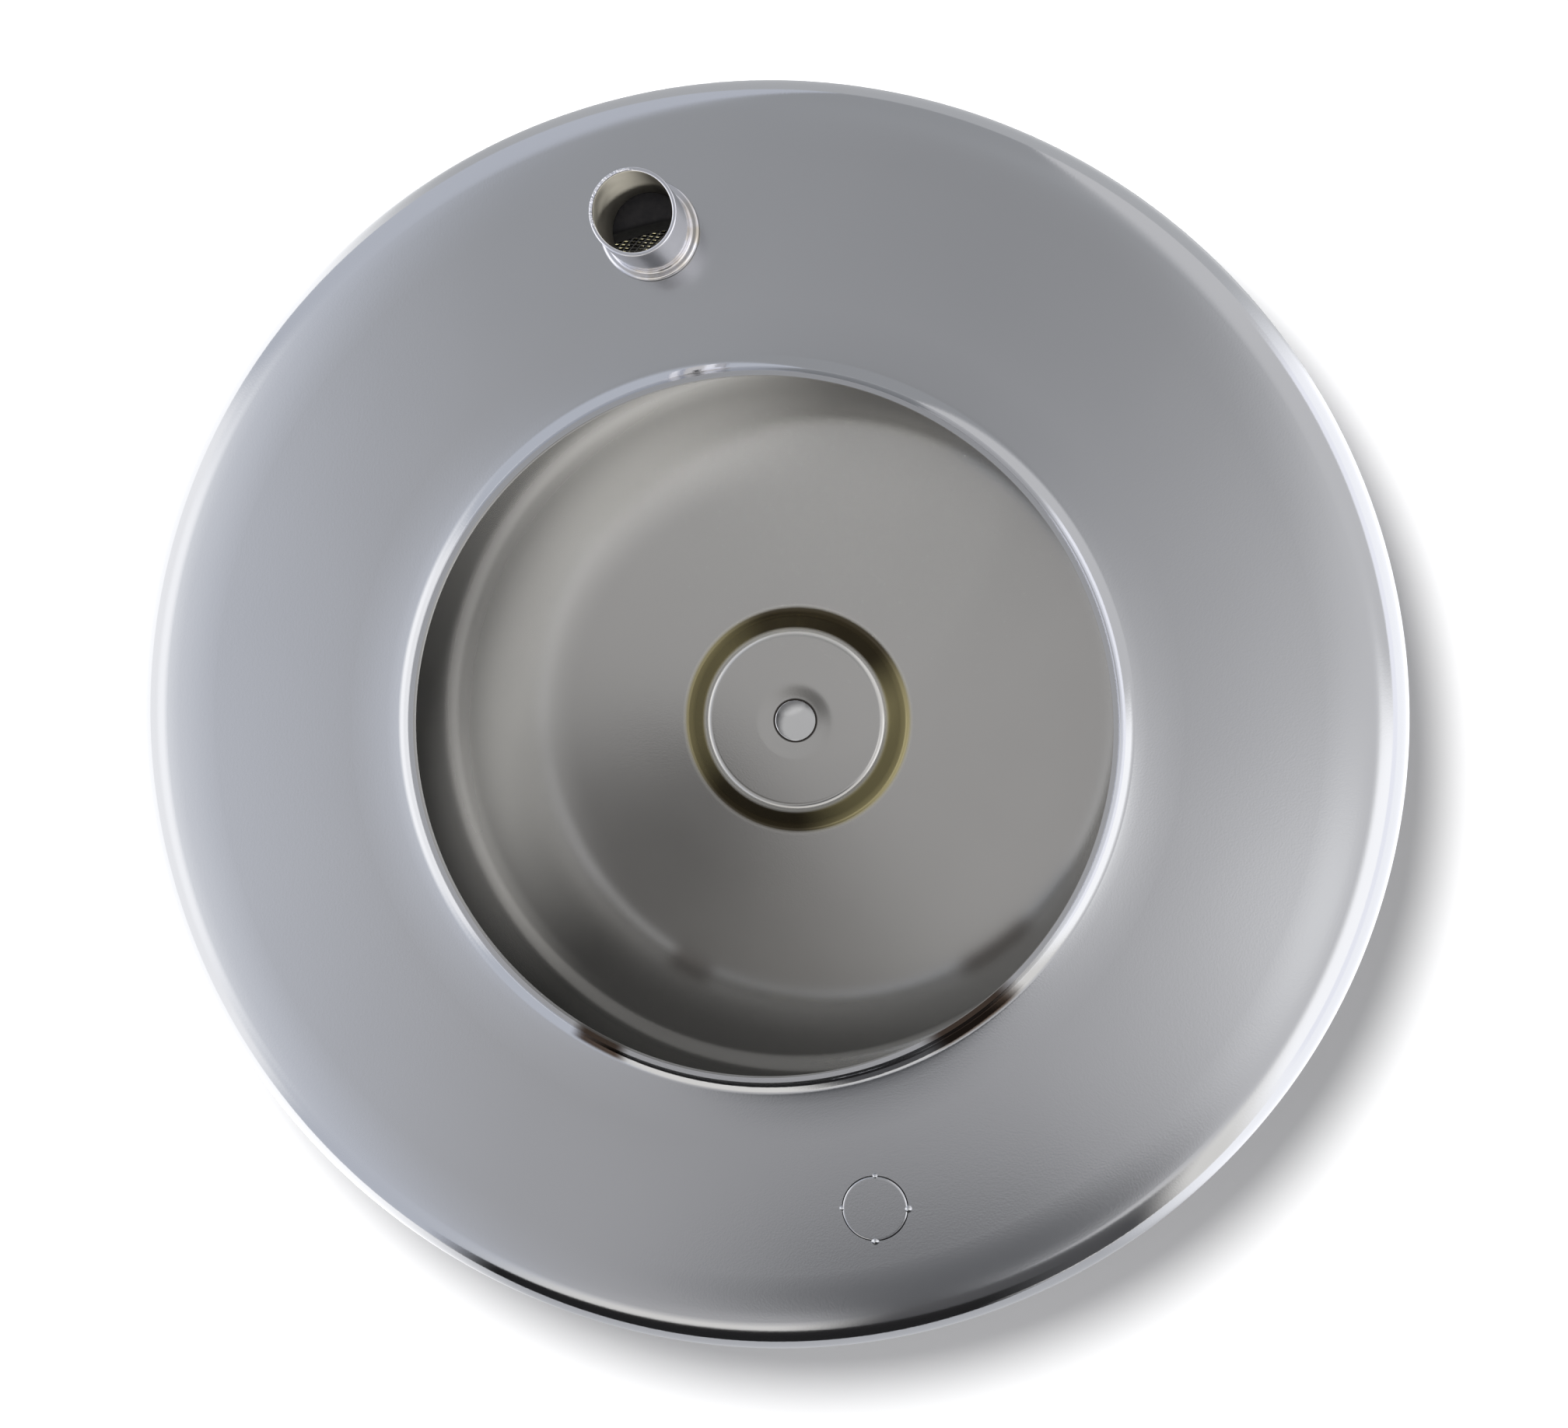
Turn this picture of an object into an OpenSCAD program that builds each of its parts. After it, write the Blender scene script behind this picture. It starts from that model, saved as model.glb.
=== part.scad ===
// Round open-element air cleaner for a carburetor.
// The carburetor's air horn enters from below; the lid is at the top.
// Origin: centre of the neck's bore, on the neck's lower edge. +Z points up through the lid.
// The breather tube hangs from the pan on the -Y side, with the knock-out opposite it.

/* [Carburetor neck] */
// Inside radius of the neck that drops over the carburetor's air horn
neck_bore_r = 66.2; // [60:0.1:72]
// Height of the neck's straight lip
neck_lip_h = 1.2; // [0.8:0.1:3]
// Radius of the bend from the lip to the pan's floor, on the underside
neck_bend_r = 3.7; // [2.5:0.1:6]

/* [Base pan] */
// Thickness of the pan's sheet
pan_sheet = 0.9; // [0.7:0.1:1.3]
// Radius of the bend from the floor up to the rim, on the underside
pan_bend_r = 8; // [5:0.5:9]
// Angle that the rim stands at above the floor
pan_rim_angle = 76; // [64:1:84]
// Width of the rim's straight stretch between its bend and its rolled edge
pan_rim_w = 6; // [4:0.2:9]

/* [Lid] */
// Thickness of the lid's sheet
lid_sheet = 0.9; // [0.7:0.1:1.3]
// Radius of the hole for the centre stud
stud_hole_r = 4.3; // [3:0.1:6]
// Radius of the flat floor of the recess that takes the nut
recess_r = 18.4; // [14:0.1:24]
// Depth of the recess below the crown
recess_depth = 4.5; // [3:0.1:8]
// Angle of the recess's wall
recess_angle = 50; // [35:1:70]
// Radius of both bends of the recess's wall, on the underside
recess_bend_r = 2; // [1.2:0.1:3]
// Radius of the flat crown
crown_r = 76.5; // [60:0.5:82]
// Height of the crown above the seat for the filter
crown_h = 1.4; // [0.8:0.1:4]
// Angle of the soft step between the crown and the seat
crown_angle = 12; // [8:1:20]
// Radius of both bends of that step, on the underside
crown_bend_r = 12; // [6:0.5:14]
// Radius of the bend from the seat down to the lid's rim, on the underside
lid_bend_r = 6.2; // [4:0.2:9]
// Angle that the lid's rim turns down by
lid_rim_angle = 82; // [66:1:86]
// Width of the rim's straight stretch between its bend and its rolled edge
lid_rim_w = 7.4; // [4:0.2:12]

/* [Rolled edges] */
// Radius of the hollow inside both rolled edges
curl_hollow_r = 0.45; // [0.3:0.05:0.9]
// How far round the edges are rolled, in degrees
curl_turn = 255; // [200:5:280]

/* [Breather tube] */
// Outside radius of the tube that the hose slides over
tube_r = 7.94; // [6:0.02:9.5]
// Wall of the tube
tube_wall = 0.8; // [0.6:0.1:1.4]
// Length of the tube below the pan
tube_len = 16.5; // [10:0.5:30]
// Rounding of the tube's mouth
tube_lip_round = 0.25; // [0.1:0.05:0.28]
// Width of the collar that seats the tube against the pan
collar_w = 1.4; // [0.8:0.1:2.5]
// Height of the collar
collar_h = 1.1; // [0.8:0.1:2.5]
// Rounding of the collar's edge
collar_round = 0.5; // [0.2:0.05:0.7]
// How far the tube's axis stands in from the filter's outer edge
tube_inset = 18.5; // [16:0.5:23]
// Direction of the tube around the neck's axis, in degrees
tube_angle = 270; // [0:1:359]
// Gap between the tube and its hole in the pan
tube_fit = 0.05; // [0.02:0.01:0.1]

/* [Knock-out] */
// Radius of the disc that can be punched out
knock_r = 6.3; // [4:0.1:8]
// Width of the shear line around the disc
knock_cut_w = 0.3; // [0.2:0.05:0.6]
// Metal left under the shear line
knock_skin = 0.3; // [0.1:0.05:0.4]
// How far the disc is set down below the pan
knock_step = 0.2; // [0.1:0.05:0.3]
// Number of tabs that hold the disc
knock_tabs = 4; // [2:1:6]
// Width of each tab
knock_tab_w = 1.7; // [1:0.1:2.5]
// How far the knock-out's centre stands in from the filter's outer edge
knock_inset = 19.5; // [14:0.5:26]
// Direction of the knock-out around the neck's axis, in degrees
knock_angle = 90; // [0:1:359]

/* [Filter element] */
// Outside radius of the filter element
element_r = 114.5; // [110:0.5:125]
// Width of the filter's rings, from inside to outside
seal_w = 17; // [13:0.5:20]
// Height of the filter element
element_h = 50.8; // [38:0.1:76]
// Height of each end seal
seal_h = 8; // [6:0.5:10]
// Depth that the pleats and screens are set into each seal
seal_channel = 3; // [1.5:0.5:4]
// Thickness of the seal beside the screens
seal_lip = 1; // [0.6:0.1:1.5]
// Rounding of the seals' edges
seal_round = 1.2; // [0.5:0.1:2]
// Gap between the filter and the start of the pan's rim bend
pan_play = 1.25; // [0.3:0.05:2]
// Gap between the filter and the start of the lid's rim bend
lid_play = 1.5; // [0.3:0.1:3]

/* [Pleats and screens] */
// Number of folds around the filter
pleats = 98; // [60:1:110]
// Thickness of the filter paper
paper_t = 0.5; // [0.3:0.05:0.7]
// Thickness of the screens
screen_t = 0.5; // [0.3:0.05:0.8]
// Gap between the pleats, the screens and the seals
pack_gap = 0.05; // [0.02:0.01:0.2]
// Openings around each screen
mesh_columns = 24; // [12:1:24]
// Rows of openings in each screen
mesh_rows = 5; // [3:1:5]
// Width of the strands between the openings
strand_w = 1.6; // [1:0.1:2.5]

/* [Hidden] */
$fn = 144;

// Heights of the levels that the pieces meet at
pan_under_z = neck_lip_h + neck_bend_r;
pan_top_z = pan_under_z + pan_sheet;
seat_z = pan_top_z + element_h;
crown_z = seat_z + crown_h;
recess_z = crown_z - recess_depth;
pack_bottom_z = pan_top_z + seal_h - seal_channel;
pack_top_z = seat_z - seal_h + seal_channel;

// Radii of the filter's layers, from the outside in
seal_in_r = element_r - seal_w;
outer_screen_r = element_r - seal_lip - pack_gap;
pleat_out_r = outer_screen_r - screen_t - pack_gap;
inner_screen_r = seal_in_r + seal_lip + pack_gap;
pleat_in_r = inner_screen_r + screen_t + pack_gap;

// Distances of the tube's axis and of the knock-out's centre from the neck's axis
tube_pitch_r = element_r - tube_inset;
knock_pitch_r = element_r - knock_inset;

// Where the floor of the pan and the seat of the lid end
pan_floor_r = element_r + pan_play;
lid_seat_r = element_r + lid_play;

// Degrees that one point of a drawn bend stands for
bend_step = 6;
// Reach of a cutter past the face that it cuts
past = 1;
// Height of the band of openings in a screen
mesh_h = element_h - 2 * seal_h;

// A sheet's section is drawn like a walk. Each move is [straight length, turn, bend radius].
// The walk follows the sheet's underside; d is the distance to its left.
function ahead(a) = [cos(a), sin(a)];
function left(a) = [-sin(a), cos(a)];
function bend_centre(p, a, move) = p + sign(move[1]) * move[2] * left(a);
function bend_points(p, a, move, d) =
    let (s = sign(move[1]), c = bend_centre(p, a, move), n = ceil(abs(move[1]) / bend_step))
    [for (i = [0:n]) c - s * (move[2] - s * d) * left(a + move[1] * i / n)];
function side(p, a, moves, d, i = 0) =
    i == len(moves) ? [] :
    let (
        q = p + moves[i][0] * ahead(a),
        next_a = a + moves[i][1],
        next_p = bend_centre(q, a, moves[i]) - sign(moves[i][1]) * moves[i][2] * left(next_a)
    )
    concat(bend_points(q, a, moves[i], d), side(next_p, next_a, moves, d, i + 1));
function reversed(list) = [for (i = [len(list) - 1:-1:0]) list[i]];
function sheet_section(p, a, moves, sheet) =
    concat([p], side(p, a, moves, 0), reversed(side(p, a, moves, sheet)), [p + sheet * left(a)]);

// Straight stretch of a step of height h between two equal bends
function step_length(h, angle, r) = (h - 2 * r * (1 - cos(angle))) / sin(angle);
// How far outwards such a step reaches
function step_run(h, angle, r) = 2 * r * sin(angle) + step_length(h, angle, r) * cos(angle);

// Quarter circle of points about a corner's centre
function corner(c, r, from) = [for (i = [0:5]) c + r * ahead(from + 18 * i)];

// Distance of a point from the neck's axis, as a place in the pan
module at_pan(pitch_r, angle) {
    rotate([0, 0, angle])
        translate([pitch_r, 0, 0])
            children();
}

// Base pan with its drawn neck, its rolled edge, the tube's hole and the knock-out
module base_pan() {
    color("#b4b7bd")
        difference() {
            union() {
                pan_sheet_metal();
                at_pan(knock_pitch_r, knock_angle)
                    translate([0, 0, pan_under_z - knock_step])
                        cylinder(r = knock_r, h = knock_step + pan_sheet / 2);
            }
            at_pan(tube_pitch_r, tube_angle)
                translate([0, 0, pan_under_z - past])
                    cylinder(r = tube_r + tube_fit, h = pan_sheet + 2 * past);
            at_pan(knock_pitch_r, knock_angle)
                knock_out_cut();
        }
}

module pan_sheet_metal() {
    floor_start_r = neck_bore_r + pan_sheet + neck_bend_r;
    moves = [
        [neck_lip_h, -90, neck_bend_r],
        [pan_floor_r - floor_start_r, pan_rim_angle, pan_bend_r],
        [pan_rim_w, curl_turn, curl_hollow_r + pan_sheet]
    ];
    rotate_extrude()
        polygon(sheet_section([neck_bore_r + pan_sheet, 0], 90, moves, pan_sheet));
}

// Shear line around the disc, broken by its tabs, and the dish that its step leaves on top
module knock_out_cut() {
    translate([0, 0, pan_under_z - past])
        linear_extrude(past + pan_sheet - knock_skin)
            difference() {
                circle(r = knock_r + knock_cut_w);
                circle(r = knock_r);
                for (i = [0:knock_tabs - 1])
                    rotate(360 * i / knock_tabs)
                        translate([knock_r, 0])
                            square([4 * knock_cut_w, knock_tab_w], center = true);
            }
    translate([0, 0, pan_top_z - knock_step])
        cylinder(r = knock_r, h = past);
}

// Breather tube, seated on the pan by its collar, with its end flush inside the pan
module breather_tube() {
    tube_in_r = tube_r - tube_wall;
    mouth_z = pan_under_z - tube_len;
    collar_r = tube_r + collar_w;
    collar_z = pan_under_z - collar_h;
    section = concat(
        [[tube_in_r, pan_top_z]],
        corner([tube_in_r + tube_lip_round, mouth_z + tube_lip_round], tube_lip_round, 180),
        corner([tube_r - tube_lip_round, mouth_z + tube_lip_round], tube_lip_round, -90),
        [[tube_r, collar_z]],
        corner([collar_r - collar_round, collar_z + collar_round], collar_round, -90),
        [[collar_r, pan_under_z], [tube_r, pan_under_z], [tube_r, pan_top_z]]
    );
    color("#a9abb0")
        at_pan(tube_pitch_r, tube_angle)
            rotate_extrude()
                polygon(section);
}

// Moulded end seal in the bottom's pose, its flat face down and its channel open upwards
module seal_ring() {
    channel_z = seal_h - seal_channel;
    section = concat(
        [[seal_in_r, seal_h]],
        corner([seal_in_r + seal_round, seal_round], seal_round, 180),
        corner([element_r - seal_round, seal_round], seal_round, -90),
        [
            [element_r, seal_h],
            [element_r - seal_lip, seal_h],
            [element_r - seal_lip, channel_z],
            [seal_in_r + seal_lip, channel_z],
            [seal_in_r + seal_lip, seal_h]
        ]
    );
    rotate_extrude()
        polygon(section);
}

// Seal that the filter stands on in the pan
module bottom_seal() {
    color("#3a3a3c")
        translate([0, 0, pan_top_z])
            seal_ring();
}

// Seal that the lid's seat presses on
module top_seal() {
    color("#3a3a3c")
        translate([0, 0, seat_z])
            mirror([0, 0, 1])
                seal_ring();
}

// Ring of points that lies by turns on two radii
function zigzag(peak_r, valley_r) = [
    for (i = [0:2 * pleats - 1])
        (i % 2 == 0 ? peak_r : valley_r) * ahead(180 * i / pleats)
];

// Filter paper folded into radial pleats
module pleated_paper() {
    half_pitch = PI * (pleat_in_r + pleat_out_r) / 2 / pleats;
    depth = pleat_out_r - pleat_in_r;
    fold_t = paper_t * norm([half_pitch, depth]) / half_pitch;
    color("#d9cfae")
        translate([0, 0, pack_bottom_z])
            linear_extrude(pack_top_z - pack_bottom_z)
                difference() {
                    polygon(zigzag(pleat_out_r, pleat_in_r + fold_t));
                    polygon(zigzag(pleat_out_r - fold_t, pleat_in_r));
                }
}

// Expanded-metal screen: a wall with staggered rows of diamond openings
module screen(in_r) {
    out_r = in_r + screen_t;
    half_w = PI * in_r / mesh_columns;
    half_h = mesh_h / (mesh_rows + 1);
    shrink = 1 - strand_w / 2 * norm([half_w, half_h]) / (half_w * half_h);
    reach = out_r * (1 - cos(180 / mesh_columns)) + screen_t + past;
    difference() {
        translate([0, 0, pack_bottom_z])
            cylinder(r = out_r, h = pack_top_z - pack_bottom_z);
        translate([0, 0, pack_bottom_z - past])
            cylinder(r = in_r, h = pack_top_z - pack_bottom_z + 2 * past);
        for (row = [0:mesh_rows - 1], column = [0:mesh_columns - 1])
            rotate([0, 0, 360 * (column + row % 2 / 2) / mesh_columns])
                translate([out_r - reach, 0, pan_top_z + seal_h + (row + 1) * half_h])
                    rotate([90, 0, 90])
                        linear_extrude(reach + past)
                            scale(shrink)
                                polygon([[half_w, 0], [0, half_h], [-half_w, 0], [0, -half_h]]);
    }
}

module inner_screen() {
    color("#5a5a58")
        screen(inner_screen_r);
}

module outer_screen() {
    color("#8f9092")
        screen(outer_screen_r - screen_t);
}

// Lid with its recessed centre for the nut, its raised crown, its seat and its rolled rim
module lid() {
    recess_run = step_run(recess_depth, recess_angle, recess_bend_r);
    crown_run = step_run(crown_h, crown_angle, crown_bend_r);
    moves = [
        [recess_r - stud_hole_r, recess_angle, recess_bend_r],
        [step_length(recess_depth, recess_angle, recess_bend_r), -recess_angle, recess_bend_r],
        [crown_r - recess_r - recess_run, -crown_angle, crown_bend_r],
        [step_length(crown_h, crown_angle, crown_bend_r), crown_angle, crown_bend_r],
        [lid_seat_r - crown_r - crown_run, -lid_rim_angle, lid_bend_r],
        [lid_rim_w, curl_turn, curl_hollow_r + lid_sheet]
    ];
    color("#a3a29d")
        rotate_extrude()
            polygon(sheet_section([stud_hole_r, recess_z], 0, moves, lid_sheet));
}

base_pan();
breather_tube();
bottom_seal();
top_seal();
pleated_paper();
inner_screen();
outer_screen();
lid();
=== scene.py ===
"""Looks for the round air cleaner: polished sheet metal, rubber seals, pleated paper and fine mesh."""
import math

import bmesh
import bpy
from mathutils import Matrix, Vector


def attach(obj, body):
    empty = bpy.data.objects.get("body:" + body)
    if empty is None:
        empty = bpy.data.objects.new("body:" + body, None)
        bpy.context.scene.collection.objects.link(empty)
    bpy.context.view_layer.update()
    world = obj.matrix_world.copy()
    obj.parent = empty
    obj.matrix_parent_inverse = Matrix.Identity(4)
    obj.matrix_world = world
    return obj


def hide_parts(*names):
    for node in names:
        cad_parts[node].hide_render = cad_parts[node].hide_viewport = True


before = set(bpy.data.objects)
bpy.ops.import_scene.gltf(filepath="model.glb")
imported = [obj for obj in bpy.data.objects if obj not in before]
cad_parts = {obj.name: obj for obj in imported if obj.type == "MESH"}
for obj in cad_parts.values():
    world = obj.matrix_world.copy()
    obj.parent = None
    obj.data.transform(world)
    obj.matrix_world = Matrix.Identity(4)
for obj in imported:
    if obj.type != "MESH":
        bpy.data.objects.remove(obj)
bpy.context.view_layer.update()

MM = 0.001
TURN = math.tau
# The photograph is rolled by this much against the part's own axes
ROLL = math.radians(12.6)


# The camera

def look_from_below():
    """Camera under the pan, at the photograph's angle, distance and framing."""
    lens_px, centre_x, centre_y = 2600.0, 1250.0, 1020.0
    width, height = 2016.0, 1836.0
    away = Vector((0.0325, -0.0730, 1.0)).normalized()
    right = Vector((1.0, 0.0, 0.0))
    right = (right - away * right.dot(away)).normalized()
    down = away.cross(right)
    # Rows are the part's axes as the camera sees them
    seen = Matrix((right, down, away))
    turn = Matrix.Rotation(ROLL, 3, "Z")
    columns = [turn @ seen.col[0], -(turn @ seen.col[1]), -(turn @ seen.col[2])]
    pose = Matrix(columns).transposed().to_4x4()
    pose.translation = turn @ (Vector((52.0, -16.0, -379.0)) * MM)
    data = bpy.data.cameras.new("camera")
    data.sensor_fit = "HORIZONTAL"
    data.sensor_width = 36.0
    data.lens = lens_px / width * data.sensor_width
    data.shift_x = (width / 2 - centre_x) / width
    data.shift_y = (centre_y - height / 2) / width
    data.clip_start = 0.01
    data.clip_end = 20.0
    camera = bpy.data.objects.new("camera", data)
    camera.matrix_world = pose
    bpy.context.scene.collection.objects.link(camera)
    bpy.context.scene.camera = camera


# Shader maths

class Wire:
    """A number, vector or colour inside a material, used with the ordinary signs of arithmetic."""

    def __init__(self, net, socket):
        self.net = net
        self.socket = socket

    def maths(self, operation, other=None, swapped=False):
        pair = (self,) if other is None else (other, self) if swapped else (self, other)
        return self.net.node("ShaderNodeMath", {"operation": operation}, dict(enumerate(pair)))

    def __add__(self, other):
        return self.maths("ADD", other)

    def __radd__(self, other):
        return self.maths("ADD", other, True)

    def __sub__(self, other):
        return self.maths("SUBTRACT", other)

    def __rsub__(self, other):
        return self.maths("SUBTRACT", other, True)

    def __mul__(self, other):
        return self.maths("MULTIPLY", other)

    def __rmul__(self, other):
        return self.maths("MULTIPLY", other, True)

    def __truediv__(self, other):
        return self.maths("DIVIDE", other)

    def __rtruediv__(self, other):
        return self.maths("DIVIDE", other, True)

    def __pow__(self, other):
        return self.maths("POWER", other)

    def __neg__(self):
        return self.maths("MULTIPLY", -1.0)

    def high(self, other):
        return self.maths("MAXIMUM", other)

    def low(self, other):
        return self.maths("MINIMUM", other)

    def root(self):
        return self.maths("SQRT")

    def ramp(self, start, end, to_start=0.0, to_end=1.0):
        """Smooth step between two values, whichever is larger."""
        return self.net.node(
            "ShaderNodeMapRange",
            {"interpolation_type": "SMOOTHSTEP"},
            {"Value": self, "From Min": start, "From Max": end, "To Min": to_start, "To Max": to_end},
        )


class Net:
    """The nodes of one material or of the world."""

    def __init__(self, tree):
        self.tree = tree
        self.tree.nodes.clear()

    def node(self, kind, settings=None, inputs=None, output=0):
        made = self.tree.nodes.new(kind)
        for name, value in (settings or {}).items():
            setattr(made, name, value)
        for name, value in (inputs or {}).items():
            if isinstance(value, Wire):
                self.tree.links.new(value.socket, made.inputs[name])
            else:
                made.inputs[name].default_value = value
        return Wire(self, made.outputs[output]) if made.outputs else None

    def place(self, spread=(1.0, 1.0, 1.0), turn=(0.0, 0.0, 0.0)):
        spot = self.node("ShaderNodeTexCoord", output="Object")
        return self.node("ShaderNodeMapping", inputs={"Vector": spot, "Scale": spread, "Rotation": turn})

    def parts(self, vector):
        split = self.tree.nodes.new("ShaderNodeSeparateXYZ")
        self.tree.links.new(vector.socket, split.inputs[0])
        return [Wire(self, s) for s in split.outputs]

    def dot(self, vector, direction):
        return self.node("ShaderNodeVectorMath", {"operation": "DOT_PRODUCT"},
                         {0: vector, 1: tuple(direction)}, "Value")

    def noise(self, scale, detail=2.0, rough=0.5, vector=None, warp=0.0):
        return self.node("ShaderNodeTexNoise", {}, {
            "Vector": vector or self.place(), "Scale": scale, "Detail": detail,
            "Roughness": rough, "Distortion": warp})

    def blend(self, amount, first, second, kind="MIX"):
        """Colour between two colours; amount is a number or a wire."""
        return self.node("ShaderNodeMix", {"data_type": "RGBA", "blend_type": kind},
                         {0: amount, 6: full(first), 7: full(second)}, 2)

    def bump(self, height, strength, distance, normal=None):
        inputs = {"Height": height, "Strength": strength, "Distance": distance}
        if normal:
            inputs["Normal"] = normal
        return self.node("ShaderNodeBump", {}, inputs)


def full(colour):
    """A colour with its fourth number, or a wire as it is."""
    return colour if isinstance(colour, Wire) or len(colour) == 4 else (*colour, 1.0)


def finish(name, paint):
    """A material whose sockets come from paint(net), a function that returns them by name."""
    material = bpy.data.materials.new(name)
    material.use_nodes = True
    net = Net(material.node_tree)
    shader = net.node("ShaderNodeBsdfPrincipled", inputs=paint(net))
    net.node("ShaderNodeOutputMaterial", inputs={"Surface": shader})
    return material


# Metal in sheet form

def ahead(angle):
    return Vector((math.cos(angle), math.sin(angle)))


def left(angle):
    return Vector((-math.sin(angle), math.cos(angle)))


def sheet_side(start, heading, moves, offset, step=5.0):
    """One side of a bent sheet, walked like the part's source does, with extra points beside each bend."""
    spots, spot, angle = [], Vector(start), math.radians(heading)
    for straight, turn, radius in moves:
        sign = math.copysign(1.0, turn)
        beside = min(0.3, straight / 3)
        for along in (0.0, beside, straight - beside) if straight else ():
            spots.append(spot + along * ahead(angle) + offset * left(angle))
        spot = spot + straight * ahead(angle)
        centre = spot + sign * radius * left(angle)
        count = max(4, math.ceil(abs(turn) / (step if radius > 2 else 3 * step)),
                    math.ceil(radius * math.radians(abs(turn)) / 4))
        for i in range(count + 1):
            side = left(angle + math.radians(turn) * i / count)
            spots.append(centre - sign * (radius - sign * offset) * side)
        angle += math.radians(turn)
        spot = centre - sign * radius * left(angle)
    return spots


def sheet_outline(start, heading, moves, sheet):
    return sheet_side(start, heading, moves, 0.0) + sheet_side(start, heading, moves, sheet)[::-1]


def clean_list(spots, least=0.004):
    """The same closed outline without points that fall on each other."""
    kept = []
    for spot in spots:
        if not kept or (Vector(spot) - kept[-1]).length > least:
            kept.append(Vector(spot))
    if (kept[0] - kept[-1]).length < least:
        kept.pop()
    return kept


def rounded(outline, radii, steps=5):
    """A closed outline with corner i rounded by radii[i]."""
    made = []
    for i, here in enumerate(outline):
        here = Vector(here)
        before, after = Vector(outline[i - 1]), Vector(outline[(i + 1) % len(outline)])
        r = radii.get(i, 0.0)
        if not r:
            made.append(here)
            continue
        a, b = here + (before - here).normalized() * r, here + (after - here).normalized() * r
        for k in range(steps + 1):
            t = k / steps
            made.append((1 - t) ** 2 * a + 2 * t * (1 - t) * here + t ** 2 * b)
    return made


def spun(name, outline, steps=256, middle=(0.0, 0.0), sharp=34.0):
    """A turned piece: a closed outline of (radius, height) in millimetres, spun about an upright axis."""
    form = bmesh.new()
    spots = clean_list(outline)
    verts = [form.verts.new((middle[0] + r, middle[1], z)) for r, z in spots]
    edges = [form.edges.new((verts[i - 1], verts[i])) for i in range(len(verts))]
    bmesh.ops.spin(form, geom=verts + edges, cent=(*middle, 0.0), axis=(0, 0, 1),
                   angle=TURN, steps=steps, use_merge=True)
    return made_mesh(name, form, sharp)


def made_mesh(name, form, sharp=34.0):
    bmesh.ops.remove_doubles(form, verts=form.verts, dist=0.0005)
    bmesh.ops.recalc_face_normals(form, faces=form.faces)
    for face in form.faces:
        face.smooth = True
    bmesh.ops.scale(form, vec=(MM,) * 3, verts=form.verts)
    data = bpy.data.meshes.new(name)
    form.to_mesh(data)
    form.free()
    data.set_sharp_from_angle(angle=math.radians(sharp))
    made = bpy.data.objects.new(name, data)
    bpy.context.scene.collection.objects.link(made)
    return made


def cut(target, *cutters):
    """Takes the cutters out of the target's mesh, then throws them away."""
    for cutter in cutters:
        knife = target.modifiers.new("cut", "BOOLEAN")
        knife.operation = "DIFFERENCE"
        knife.solver = "EXACT"
        knife.object = cutter
    bpy.context.view_layer.update()
    ready = target.evaluated_get(bpy.context.evaluated_depsgraph_get())
    data = bpy.data.meshes.new_from_object(ready)
    target.modifiers.clear()
    target.data = data
    data.set_sharp_from_angle(angle=math.radians(34.0))
    for cutter in cutters:
        bpy.data.objects.remove(cutter)


def dressed(piece, slot, material, *nodes):
    piece.data.materials.clear()
    piece.data.materials.append(material)
    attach(piece, "root")
    if nodes:
        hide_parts(*nodes)
    return piece


def around(pitch_r, degrees):
    return pitch_r * ahead(math.radians(degrees))


# Sizes, in millimetres

SHEET = 0.9
NECK_R, NECK_LIP, NECK_BEND = 66.2, 1.2, 3.7
PAN_UNDER = NECK_LIP + NECK_BEND
PAN_TOP = PAN_UNDER + SHEET
ELEMENT_R, SEAL_W, ELEMENT_H, SEAL_H = 114.5, 17.0, 50.8, 8.0
SEAT = PAN_TOP + ELEMENT_H
CROWN = SEAT + 1.4
RECESS = CROWN - 4.5
TUBE_R, TUBE_WALL, TUBE_LEN = 7.94, 0.8, 16.5
TUBE_AT = around(96.0, 270.0)
KNOCK_R, KNOCK_AT = 6.3, around(95.0, 90.0)
PACK_LOW, PACK_HIGH = PAN_TOP + 5.0, SEAT - 5.0
HOLLOW = 0.45


# The materials

def from_axis(net):
    """Distance from the neck's axis, in millimetres, and the height."""
    x, y, z = net.parts(net.place())
    return (x * x + y * y).root() * 1000.0, z * 1000.0


def facing(net, degrees, middle=(0.0, 0.0)):
    """1 on the side of an upright axis that lies at this angle in the photograph, -1 on the other side."""
    x, y, z = net.parts(net.place())
    x, y = x - middle[0] * MM, y - middle[1] * MM
    aim = in_photo(math.cos(math.radians(degrees)), math.sin(math.radians(degrees)), 0.0)
    return (x * aim.x + y * aim.y) / (x * x + y * y).root().high(0.0001)


def pan_chrome(net):
    out, up = from_axis(net)
    bend = out.ramp(70.4, 69.6)
    # Two narrow dark streaks painted on the neck's bend, at 54° and 118° round the axis: painted dark
    # reflections.
    dark_reflection_streaks = bend * (facing(net, 54).ramp(0.985, 0.996) + facing(net, 118).ramp(0.9955, 0.999))
    cloud = net.noise(14.0, 3.0)
    grain = net.noise(2600.0, 2.0)
    polished = out.ramp(71.5, 69.5)
    smooth = polished.maths("MAXIMUM", out.ramp(117.0, 119.0))
    rough = 0.15 + 0.05 * cloud - 0.09 * smooth
    wave = net.bump(net.noise(30.0, 1.0), 0.10, 0.0004)
    return {
        "Base Color": net.blend(dark_reflection_streaks, net.blend(cloud, (0.60, 0.607, 0.62), (0.65, 0.655, 0.665)),
                                (0.09, 0.065, 0.05)),
        "Metallic": 1.0,
        "Roughness": rough,
        "Normal": net.bump(grain, 0.12, 0.00004, wave),
    }


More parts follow.
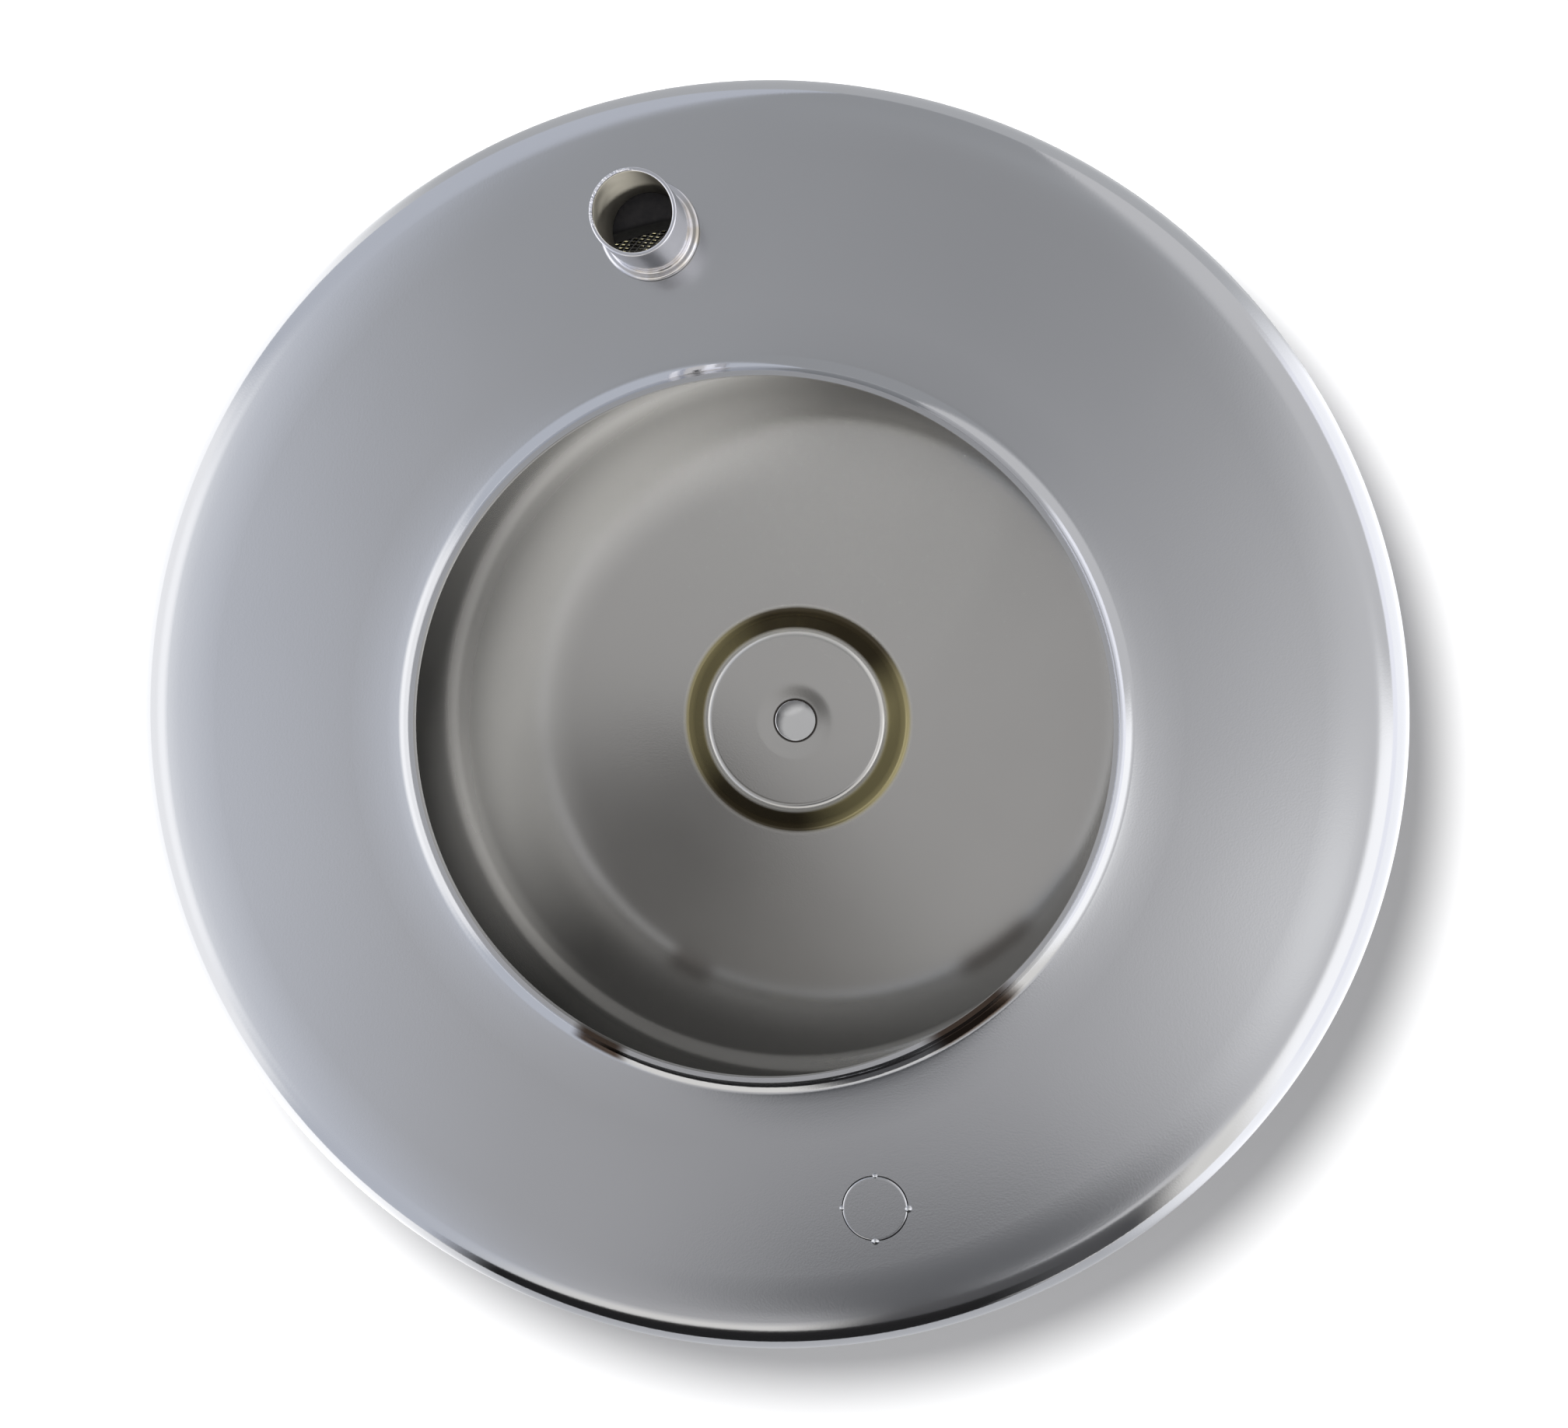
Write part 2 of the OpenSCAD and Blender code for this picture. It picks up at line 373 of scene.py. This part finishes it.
def tube_chrome(net):
    x, y, z = net.parts(net.place())
    ax, ay = x - TUBE_AT.x * MM, y - TUBE_AT.y * MM
    out = (ax * ax + ay * ay).root() * 1000.0
    up = z * 1000.0
    inside = out.ramp(TUBE_R - 0.6, TUBE_R - 0.75)
    mouth = up.ramp(PAN_UNDER - TUBE_LEN + 1.2, PAN_UNDER - TUBE_LEN + 0.5)
    burr = mouth * facing(net, 215, TUBE_AT).ramp(0.5, 0.8) * (1.0 - inside)
    scorched = facing(net, 40, TUBE_AT).ramp(-0.2, 0.7)
    heat = up.ramp(2.2, 4.6) * scorched * net.noise(260.0, 3.0).ramp(0.25, 0.7)
    plain = net.blend(net.noise(160.0), (0.74, 0.74, 0.78), (0.83, 0.83, 0.87))
    warm = net.blend(heat, plain, (0.64, 0.57, 0.45))
    lit = facing(net, 205, TUBE_AT).ramp(-0.1, 0.95) * net.noise(90.0).ramp(0.1, 0.6)
    bore = net.blend(lit, (0.06, 0.055, 0.045), (0.34, 0.32, 0.27))
    fine = net.bump(net.noise(1100.0, 3.0), 0.10, 0.00005)
    return {
        "Base Color": net.blend(inside, warm, bore),
        "Metallic": 1.0 - 0.5 * inside,
        "Roughness": 0.10 + 0.25 * inside + 0.06 * net.noise(300.0, 3.0),
        "Normal": net.bump(net.noise(1500.0, 2.0) * burr, 1.0, 0.0007, fine),
    }


def lid_metal(net):
    out, up = from_axis(net)
    normal = net.parts(net.node("ShaderNodeNewGeometry", output="Normal"))[2]
    inside = normal.ramp(0.2, -0.2)
    wall = inside * out.ramp(19.0, 20.2) * out.ramp(25.2, 24.0)
    # Where metallic is lowered below, the lamps' diffuse light shows: the boss's crest gets a painted lighter
    # edge, the upper-left of the underside a painted sheen, and the arc near its rim a painted highlight.
    crest = inside * out.ramp(18.2, 18.9) * out.ramp(20.6, 19.6)
    painted_sheen = inside * out.ramp(48.0, 68.0) * facing(net, 205).ramp(0.25, 1.0)
    painted_arc_highlight = inside * out.ramp(70.5, 73.5) * out.ramp(77.0, 74.5) * facing(net, 200).ramp(0.2, 0.9)
    cloud = net.noise(22.0, 3.0)
    nickel = net.blend(cloud, (0.50, 0.49, 0.47), (0.57, 0.56, 0.535))
    # The boss wall is painted olive, lighter towards 25° and 195° round the axis and near-black elsewhere: a
    # painted reflection of the lit paper inside.
    glow = facing(net, 25).ramp(0.4, 0.95) + 0.55 * facing(net, 195).ramp(0.5, 0.95)
    olive_painted_reflection = net.blend(glow, (0.03, 0.024, 0.014), (0.24, 0.21, 0.11))
    # A thin near-black ring painted round the hole's edge: painted shade.
    nickel = net.blend(inside * out.ramp(4.9, 4.6), nickel, (0.05, 0.045, 0.04))
    chrome = net.blend(cloud, (0.62, 0.63, 0.65), (0.68, 0.68, 0.70))
    dimple = net.bump(out.ramp(4.0, 8.5), 1.0, 0.00012)
    return {
        "Base Color": net.blend(inside, chrome, net.blend(wall, nickel, olive_painted_reflection)),
        "Metallic": 1.0 - inside * 0.03 - wall * 0.3 - painted_sheen * 0.21 - painted_arc_highlight * 0.10 - crest * 0.12,
        "Roughness": 0.07 + 0.03 * inside + 0.03 * cloud + 0.12 * painted_sheen,
        "Normal": net.bump(net.noise(2600.0, 2.0), 0.05, 0.00004, dimple),
    }


def seal_rubber(net):
    speck = net.noise(900.0, 3.0)
    return {
        "Base Color": net.blend(speck, (0.003, 0.003, 0.0035), (0.008, 0.0075, 0.0075)),
        "Specular IOR Level": 0.15,
        "Roughness": 0.6 + 0.2 * speck,
        "Normal": net.bump(net.noise(1500.0, 2.0), 0.3, 0.0001),
    }


def filter_paper(net):
    fibre = net.noise(900.0, 4.0, 0.6, net.place((1.0, 1.0, 0.35)))
    return {
        "Base Color": net.blend(fibre.ramp(0.3, 0.7), (0.68, 0.64, 0.44), (0.82, 0.79, 0.60)),
        "Roughness": 0.92,
        "Normal": net.bump(fibre, 0.35, 0.0002),
    }


# The inner screen's near-black colour is painted shade: the screen standing dark against the backlit paper.
def screen_in_painted_shade(net):
    speck = net.noise(1200.0, 2.0)
    return {
        "Base Color": net.blend(speck, (0.02, 0.02, 0.02), (0.05, 0.05, 0.048)),
        "Metallic": 0.3,
        "Roughness": 0.42 + 0.2 * speck,
        "Normal": net.bump(speck, 0.2, 0.0001),
    }


def screen_zinc(net):
    speck = net.noise(900.0, 3.0)
    return {
        "Base Color": net.blend(speck, (0.42, 0.43, 0.44), (0.60, 0.61, 0.62)),
        "Metallic": 1.0,
        "Roughness": 0.32 + 0.2 * speck,
        "Normal": net.bump(speck, 0.25, 0.0001),
    }


# The pieces

def base_pan():
    flare, lead = 2.7, 3.2
    flare_r, lead_r = 9.0 / math.sin(math.radians(flare)), 9.0 / math.sin(math.radians(lead))
    floor_from = NECK_R + SHEET + NECK_BEND + 9.0
    moves = [
        (NECK_LIP, -90.0 + flare, NECK_BEND),
        (0.0, -flare, flare_r),
        (ELEMENT_R + 1.25 - 9.0 - floor_from, lead, lead_r),
        (0.0, 76.0 - lead, 8.0),
        (6.0, 255.0, HOLLOW + SHEET),
    ]
    pan = spun("pan", sheet_outline((NECK_R + SHEET, 0.0), 90.0, moves, SHEET))
    tube_hole = spun("tube_hole", [(0.001, 3.0), (TUBE_R + 0.05, 3.0), (TUBE_R + 0.05, 8.0), (0.001, 8.0)],
                     96, TUBE_AT)
    disc_hole = spun("disc_hole", [(0.001, 3.0), (KNOCK_R + 0.18, 3.0), (KNOCK_R + 0.18, 8.0), (0.001, 8.0)],
                     96, KNOCK_AT)
    cut(pan, tube_hole, disc_hole)
    return pan


def knock_out():
    """The lanced disc: its edge is drawn over, and four small tabs still hold it."""
    low = PAN_UNDER - 0.2
    top = PAN_TOP - 0.2
    edge = [(0.001, low), (KNOCK_R - 0.5, low), (KNOCK_R, low), (KNOCK_R, top), (0.001, top)]
    return spun("knock_out", rounded(edge, {2: 0.3}), 96, KNOCK_AT)


def knock_out_tabs():
    """The four places where the lanced disc still hangs on to the pan."""
    drop = [(0.001, -0.42), (0.3, -0.36), (0.55, -0.22), (0.8, 0.0), (0.8, 0.3), (0.001, 0.3)]
    for i, degrees in enumerate((0, 90, 180, 270)):
        aim = in_photo(math.cos(math.radians(degrees)), math.sin(math.radians(degrees)), 0.0)
        middle = KNOCK_AT + (KNOCK_R + 0.1) * Vector((aim.x, aim.y))
        outline = [(r * (1.0 - 0.3 * (i > 1)), PAN_UNDER + z) for r, z in drop]
        yield spun(f"knock_out_tab_{i + 1}", outline, 24, middle, sharp=60.0)


def breather_tube():
    inner, mouth = TUBE_R - TUBE_WALL, PAN_UNDER - TUBE_LEN
    collar_r, collar_z = TUBE_R + 1.4, PAN_UNDER - 1.1
    outline = [
        (inner, PAN_TOP), (inner, mouth), (TUBE_R, mouth), (TUBE_R, collar_z),
        (collar_r, collar_z), (collar_r, PAN_UNDER), (TUBE_R, PAN_UNDER), (TUBE_R, PAN_TOP),
    ]
    return spun("breather_pipe", rounded(outline, {0: 0.35, 1: 0.3, 2: 0.3, 3: 0.5, 4: 0.6}), 96, TUBE_AT)


def seal(name, flip):
    """Moulded end seal with its channel for the pleats."""
    inner, lip = ELEMENT_R - SEAL_W, 1.0
    outline = [
        (inner, SEAL_H), (inner, 0.0), (ELEMENT_R, 0.0), (ELEMENT_R, SEAL_H),
        (ELEMENT_R - lip, SEAL_H), (ELEMENT_R - lip, 5.0), (inner + lip, 5.0), (inner + lip, SEAL_H),
    ]
    outline = rounded(outline, {0: 0.3, 1: 1.2, 2: 1.2, 3: 0.3, 4: 0.3, 7: 0.3})
    placed = [(r, SEAT - z if flip else PAN_TOP + z) for r, z in outline]
    return spun(name, placed)


def screen(name, radius, thick=0.4, strand=0.36, cell_w=1.9, cell_h=3.5):
    """Expanded metal: slit strands that zigzag from one end seal to the other and meet at their bends."""
    pairs = round(TURN * radius / cell_w)
    wide = TURN * radius / pairs
    rows = round((PACK_HIGH - PACK_LOW) / (cell_h / 2))
    step = (PACK_HIGH - PACK_LOW) / rows
    form = bmesh.new()
    for mirror in (0, 1):
        swing = [wide / 4 if (i + mirror) % 2 else -wide / 4 for i in range(rows + 1)]
        verts = []
        for i, side in enumerate(swing):
            across = side + (mirror - 0.5) * wide / 2 - strand / 2
            verts.append(form.verts.new((radius, across, PACK_LOW + i * step)))
        edges = [form.edges.new(pair) for pair in zip(verts, verts[1:])]
        drawn = bmesh.ops.extrude_edge_only(form, edges=edges)["geom"]
        moved = [v for v in drawn if isinstance(v, bmesh.types.BMVert)]
        bmesh.ops.translate(form, vec=(0, strand, 0), verts=moved)
    bmesh.ops.spin(form, geom=form.verts[:] + form.edges[:] + form.faces[:], cent=(0, 0, 0),
                   axis=(0, 0, 1), angle=TURN * (pairs - 1) / pairs, steps=pairs - 1, use_duplicate=True)
    for face in form.faces:
        if face.normal.dot(face.calc_center_median() * Vector((1, 1, 0))) < 0:
            face.normal_flip()
    bmesh.ops.scale(form, vec=(MM,) * 3, verts=form.verts)
    data = bpy.data.meshes.new(name)
    form.to_mesh(data)
    form.free()
    made = bpy.data.objects.new(name, data)
    bpy.context.scene.collection.objects.link(made)
    wall = made.modifiers.new("wall", "SOLIDIFY")
    wall.thickness = thick * MM
    wall.offset = 0.0
    return made


def lid():
    moves = [
        (13.634, 50.0, 3.0), (3.076, -50.0, 3.0),
        (0.034, -2.0, 1390.0),
        (0.0, -7.0, 12.0), (1.69, 9.0, 12.0),
        (ELEMENT_R + 1.46 - 78.53, -82.0, 6.2), (7.4, 255.0, HOLLOW + SHEET),
    ]
    return spun("cover", sheet_outline((4.3, RECESS), 0.0, moves, SHEET))


# The stage and its light

def open_plane(name, height, faces_up, tone):
    """A pale sheet that shows from one side only, so that the object is seen from below and from above."""
    form = bmesh.new()
    bmesh.ops.create_grid(form, x_segments=1, y_segments=1, size=2.5)
    if not faces_up:
        bmesh.ops.reverse_faces(form, faces=form.faces)
    data = bpy.data.meshes.new(name)
    form.to_mesh(data)
    form.free()
    sheet = bpy.data.objects.new(name, data)
    sheet.location.z = height * MM
    bpy.context.scene.collection.objects.link(sheet)
    material = bpy.data.materials.new(name)
    material.use_nodes = True
    net = Net(material.node_tree)
    clear = net.node("ShaderNodeBsdfTransparent")
    x, y, z = net.parts(net.node("ShaderNodeNewGeometry", output="Position"))
    # Within about 12 to 30 mm of the axis the sheet is painted dark: a painted shadow, seen through the lid's
    # hole.
    tone_with_painted_shadow = net.blend((x * x + y * y).root().ramp(0.012, 0.03), (0.15, 0.15, 0.15), (tone, tone, tone))
    matt = net.node("ShaderNodeBsdfDiffuse", inputs={"Color": tone_with_painted_shadow})
    back = net.node("ShaderNodeNewGeometry", output="Backfacing")
    net.node("ShaderNodeOutputMaterial", inputs={
        "Surface": net.node("ShaderNodeMixShader", inputs={0: back, 1: matt, 2: clear})})
    data.materials.append(material)
    for ray in ("visible_shadow", "visible_glossy", "visible_diffuse", "visible_transmission"):
        setattr(sheet, ray, False)


# How far from its ends a dark card fades away, in metres
CARD_FADE = 0.035


def card(name, left_x, right_x, low_z, high_z, away, tone):
    """A dark card beside the object that only polished metal sees; sizes in metres along the photograph."""
    form = bmesh.new()
    bmesh.ops.create_grid(form, x_segments=1, y_segments=1, size=0.5)
    bmesh.ops.rotate(form, cent=(0, 0, 0), matrix=Matrix.Rotation(math.radians(90), 3, "X"), verts=form.verts)
    bmesh.ops.scale(form, vec=(right_x - left_x, 1.0, high_z - low_z), verts=form.verts)
    middle = ((left_x + right_x) / 2, away, (low_z + high_z) / 2)
    bmesh.ops.translate(form, vec=middle, verts=form.verts)
    bmesh.ops.rotate(form, cent=(0, 0, 0), matrix=Matrix.Rotation(ROLL, 3, "Z"), verts=form.verts)
    data = bpy.data.meshes.new(name)
    form.to_mesh(data)
    form.free()
    board = bpy.data.objects.new(name, data)
    bpy.context.scene.collection.objects.link(board)
    material = bpy.data.materials.new(name)
    material.use_nodes = True
    net = Net(material.node_tree)
    glow = net.node("ShaderNodeEmission", inputs={"Color": (tone, tone, tone * 1.05, 1.0)})
    clear = net.node("ShaderNodeBsdfTransparent")
    half = (right_x - left_x) / 2
    off = net.dot(net.place(), in_photo(1, 0, 0)) - (right_x + left_x) / 2
    fade = off.maths("ABSOLUTE").ramp(half - CARD_FADE, half)
    net.node("ShaderNodeOutputMaterial", inputs={
        "Surface": net.node("ShaderNodeMixShader", inputs={0: fade, 1: glow, 2: clear})})
    data.materials.append(material)
    for ray in ("visible_camera", "visible_shadow", "visible_diffuse", "visible_transmission"):
        setattr(board, ray, False)


def lamp(name, kind, spot, aim, **facts):
    """A lamp that polished metal doesn't mirror; the panels of the studio are what it mirrors."""
    data = bpy.data.lights.new(name, kind)
    for fact, value in facts.items():
        setattr(data, fact, value)
    made = bpy.data.objects.new(name, data)
    made.location = Vector(spot)
    made.rotation_euler = (Vector(aim) - made.location).to_track_quat("-Z", "Y").to_euler()
    made.visible_glossy = False
    bpy.context.scene.collection.objects.link(made)


def in_photo(right, down, away):
    """A direction or place given along the photograph's axes."""
    return Matrix.Rotation(ROLL, 3, "Z") @ Vector((right, down, away))


def studio():
    """World light: soft panels round the object, as polished metal mirrors them in a light tent."""
    world = bpy.data.worlds.new("studio")
    bpy.context.scene.world = world
    world.use_nodes = True
    net = Net(world.node_tree)
    to = net.node("ShaderNodeTexCoord", output="Generated")
    right = net.dot(to, in_photo(1, 0, 0))
    down = net.dot(to, in_photo(0, 1, 0))
    away = net.parts(to)[2]
    near = (-away).high(0.02)
    across, along = right / near, down / near
    flat = (right * right + down * down).root().high(0.001)

    def toward(degrees, half, soft):
        """1 within half degrees of a direction round the object, 0 past soft more."""
        aim = math.radians(degrees)
        facing = (right * math.cos(aim) + down * math.sin(aim)) / flat
        return facing.ramp(math.cos(math.radians(min(179.9, half + soft))), math.cos(math.radians(half)))

    def patch(x, y, inner, outer, wide=1.0):
        """1 near a spot of the ceiling behind the camera, 0 past outer."""
        dx, dy = (across - x) / wide, along - y
        return (dx * dx + dy * dy).root().ramp(outer, inner) * away.ramp(-0.1, -0.3)

    def under(degrees, soft=4.0):
        """1 below a height above the table's plane, 0 above it."""
        return (-away).ramp(math.sin(math.radians(degrees + soft)), math.sin(math.radians(degrees - soft)))

    sky = net.blend(along.ramp(-0.3, 0.1), (0.415, 0.425, 0.445), (0.49, 0.49, 0.505))
    sky = net.blend(patch(0.02, -0.22, 0.06, 0.20), sky, (0.365, 0.37, 0.385))
    sky = net.blend(across.ramp(-0.26, -0.46), sky, (0.66, 0.69, 0.77))
    sky = net.blend((across + along * 0.35).ramp(0.04, 0.24), sky, (0.74, 0.74, 0.76))
    sky = net.blend(patch(0.19, 0.15, 0.03, 0.12), sky, (1.15, 1.15, 1.17))
    sky = net.blend(patch(0.0, 0.38, 0.06, 0.14, 1.7), sky, (0.06, 0.063, 0.07))
    sky = net.blend(patch(-0.15, 0.14, 0.03, 0.07, 1.5), sky, (0.16, 0.155, 0.15))
    sky = net.blend(patch(-0.158, 0.098, 0.015, 0.045), sky, (0.08, 0.077, 0.074))
    sky = net.blend(patch(-0.182, 0.074, 0.020, 0.050), sky, (0.02, 0.018, 0.016))
    sky = net.blend(under(60, 13) * toward(178, 14, 20), sky, (1.42, 1.42, 1.45))
    sky = net.blend(under(30, 8) * toward(176, 22, 12), sky, (1.25, 1.25, 1.28))
    sky = net.blend(under(56, 10) * toward(76, 40, 12), sky, (0.98, 0.96, 0.93))
    sky = net.blend(under(60, 10) * toward(22, 16, 12), sky, (1.45, 1.45, 1.48))
    sky = net.blend(under(17, 2.5) * toward(0, 34, 10), sky, (1.25, 1.26, 1.36))
    table = net.blend(toward(178, 40, 20), (0.60, 0.61, 0.64), (1.5, 1.5, 1.52))
    table = net.blend(toward(8, 42, 16), table, (1.35, 1.36, 1.42))
    table = net.blend(toward(270, 30, 25), table, (0.58, 0.59, 0.61))
    sky = net.blend(under(0, 1.5), sky, table)
    path = net.tree.nodes.new("ShaderNodeLightPath")
    seen = Wire(net, path.outputs["Is Camera Ray"])
    colour = net.blend(seen, sky, (1.0, 1.0, 1.0))
    light = net.node("ShaderNodeBackground", inputs={"Color": colour, "Strength": 1.0})
    net.node("ShaderNodeOutputWorld", inputs={"Surface": light})


# Putting it together

look_from_below()
bpy.context.scene.view_settings.view_transform = "Standard"
chrome = finish("pan_chrome", pan_chrome)
dressed(base_pan(), "pan_chrome", chrome, "base_pan")
dressed(knock_out(), "pan_chrome", chrome)
for tab in knock_out_tabs():
    dressed(tab, "pan_chrome", chrome)
dressed(breather_tube(), "tube_chrome", finish("tube_chrome", tube_chrome), "breather_tube")
rubber = finish("seal_rubber", seal_rubber)
dressed(seal("lower_seal", False), "seal_rubber", rubber, "bottom_seal")
dressed(seal("upper_seal", True), "seal_rubber", rubber, "top_seal")
dressed(screen("inner_mesh", 98.8), "inner_mesh", finish("inner_mesh", screen_in_painted_shade), "inner_screen")
dressed(screen("outer_mesh", 113.2), "outer_mesh", finish("outer_mesh", screen_zinc), "outer_screen")
dressed(lid(), "lid_nickel", finish("lid_nickel", lid_metal), "lid")
paper = finish("filter_paper", filter_paper)
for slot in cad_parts["pleated_paper"].material_slots:
    slot.material = paper

open_plane("table", 59.1, False, 0.55)
open_plane("floor", -11.7, True, 0.8)
card("lower_card", -0.01, 0.145, -0.12, 0.004, 0.170, 0.10)
card("side_card", -0.125, 0.085, -0.03, 0.012, 0.165, 0.02)
lamp("key", "AREA", in_photo(-0.022, -0.091, -0.352), in_photo(0.0, 0.0, 0.05), energy=4.0, shape="DISK",
     size=0.13)
lamp("inside", "SPOT", in_photo(0.16, 0.34, -0.36), in_photo(-0.012, -0.095, 0.040), energy=60.0,
     spot_size=math.radians(14), spot_blend=0.8, shadow_soft_size=0.05)
lamp("tube_fill", "SPOT", in_photo(0.052, -0.016, -0.379), in_photo(-0.004, -0.100, 0.020), energy=24.0,
     spot_size=math.radians(3.4), spot_blend=0.4, shadow_soft_size=0.005)
lamp("top_key", "AREA", (0.7, -0.8, 1.3), (0, 0, 0), energy=30.0, shape="DISK", size=1.0)
studio()
